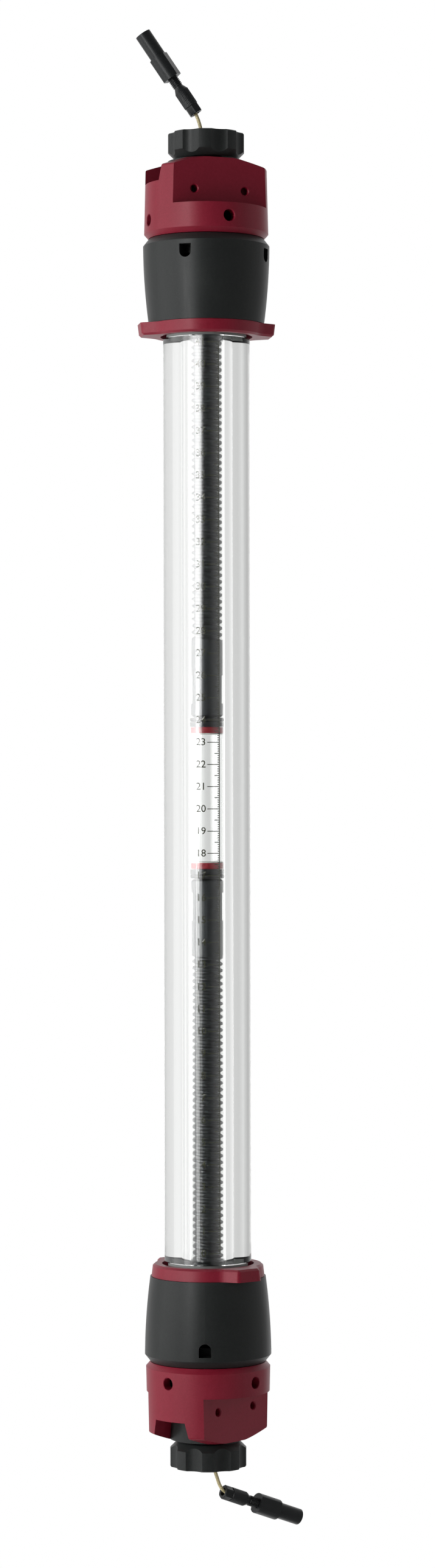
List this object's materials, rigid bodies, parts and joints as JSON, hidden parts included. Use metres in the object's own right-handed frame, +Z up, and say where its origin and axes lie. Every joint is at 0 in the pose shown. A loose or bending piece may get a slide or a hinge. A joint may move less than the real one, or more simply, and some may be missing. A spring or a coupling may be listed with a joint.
{
  "type": "hplc column",
  "caption": "Upright glass chromatography column with adjustable threaded adapters, quick-release locks and capillary fittings at its ends.",
  "frame": {"origin": "middle of the glass tube, on the axis of its bore", "axes": "+Z runs up the bore to the end whose adapter leans its fitting to the left; -Y faces the front, where the scale is; +X is to the right"},
  "size_m": [0.0752, 0.0574, 0.6839],
  "materials": {
    "tube_glass": "clear, polished",
    "cap_black": "fine satin",
    "lock_burgundy": "satin",
    "rod_grey": "turned, satin",
    "collar_grey": "satin",
    "plunger_black": "smooth",
    "seal_rubber": "matt",
    "filter_red": "satin",
    "filter_white": "porous",
    "fitting_black": "satin",
    "fitting_cream": "satin",
    "capillary_tan": "smooth"
  },
  "bodies": {
    "column": {"glass_tube": "tube_glass", "upper_tube_collar": "collar_grey", "upper_seat_ring": "cap_black", "upper_end_cap": "cap_black", "lower_tube_collar": "collar_grey", "lower_seat_ring": "cap_black", "lower_end_cap": "cap_black"},
    "upper_ring": {"upper_lock_ring": "lock_burgundy"},
    "upper_lock": {"upper_lock_body": "lock_burgundy", "upper_lock_core": "cap_black", "upper_half_nuts": "rod_grey", "upper_nut_retainer": "rod_grey"},
    "upper_adapter": {"upper_adapter_rod": "rod_grey", "upper_rod_tip": "rod_grey", "upper_plunger_head": "plunger_black", "upper_seal_ring": "seal_rubber", "upper_filter_ring": "filter_red", "upper_filter_disc": "filter_white", "upper_inner_shaft": "rod_grey", "upper_capillary": "capillary_tan", "upper_fitting_nut": "fitting_black", "upper_ferrule": "fitting_cream"},
    "upper_knob_body": {"upper_knob": "cap_black"},
    "upper_union_body": {"upper_union": "fitting_black"},
    "lower_ring": {"lower_lock_ring": "lock_burgundy"},
    "lower_lock": {"lower_lock_body": "lock_burgundy", "lower_lock_core": "cap_black", "lower_half_nuts": "rod_grey", "lower_nut_retainer": "rod_grey"},
    "lower_adapter": {"lower_adapter_rod": "rod_grey", "lower_rod_tip": "rod_grey", "lower_plunger_head": "plunger_black", "lower_seal_ring": "seal_rubber", "lower_filter_ring": "filter_red", "lower_filter_disc": "filter_white", "lower_inner_shaft": "rod_grey", "lower_capillary": "capillary_tan", "lower_fitting_nut": "fitting_black", "lower_ferrule": "fitting_cream"},
    "lower_knob_body": {"lower_knob": "cap_black"},
    "lower_union_body": {"lower_union": "fitting_black"}
  },
  "joints": [
    {"name": "upper_ring_turn", "type": "hinge", "parent": "column", "child": "upper_ring", "pos_m": [0, 0, 0.2132], "axis": [0, 0, 1], "range_deg": [0, 90]},
    {"name": "upper_lock_turn", "type": "hinge", "parent": "column", "child": "upper_lock", "pos_m": [0, 0, 0.2548], "axis": [0, 0, 1], "range_deg": [0, 90]},
    {"name": "upper_adapter_slide", "type": "slide", "parent": "column", "child": "upper_adapter", "axis": [0, 0, 1], "range_m": [0, 0.145]},
    {"name": "upper_knob_turn", "type": "hinge", "parent": "upper_adapter", "child": "upper_knob_body", "pos_m": [0, 0, 0.2971], "axis": [0, 0, 1], "range_deg": [0, 360]},
    {"name": "upper_union_turn", "type": "hinge", "parent": "upper_adapter", "child": "upper_union_body", "pos_m": [-0.01721, 0, 0.3312], "axis": [-0.5568, 0, 0.8306], "continuous": true},
    {"name": "lower_ring_turn", "type": "hinge", "parent": "column", "child": "lower_ring", "pos_m": [0, 0, -0.2132], "axis": [0, 0, -1], "range_deg": [0, 90]},
    {"name": "lower_lock_turn", "type": "hinge", "parent": "column", "child": "lower_lock", "pos_m": [0, 0, -0.2548], "axis": [0, 0, -1], "range_deg": [0, 90]},
    {"name": "lower_adapter_slide", "type": "slide", "parent": "column", "child": "lower_adapter", "axis": [0, 0, -1], "range_m": [0, 0.145]},
    {"name": "lower_knob_turn", "type": "hinge", "parent": "lower_adapter", "child": "lower_knob_body", "pos_m": [0, 0, -0.2971], "axis": [0, 0, -1], "range_deg": [0, 360]},
    {"name": "lower_union_turn", "type": "hinge", "parent": "lower_adapter", "child": "lower_union_body", "pos_m": [0.0249, 0.01127, -0.32271], "axis": [0.7954, 0.4898, -0.3569], "continuous": true}
  ]
}
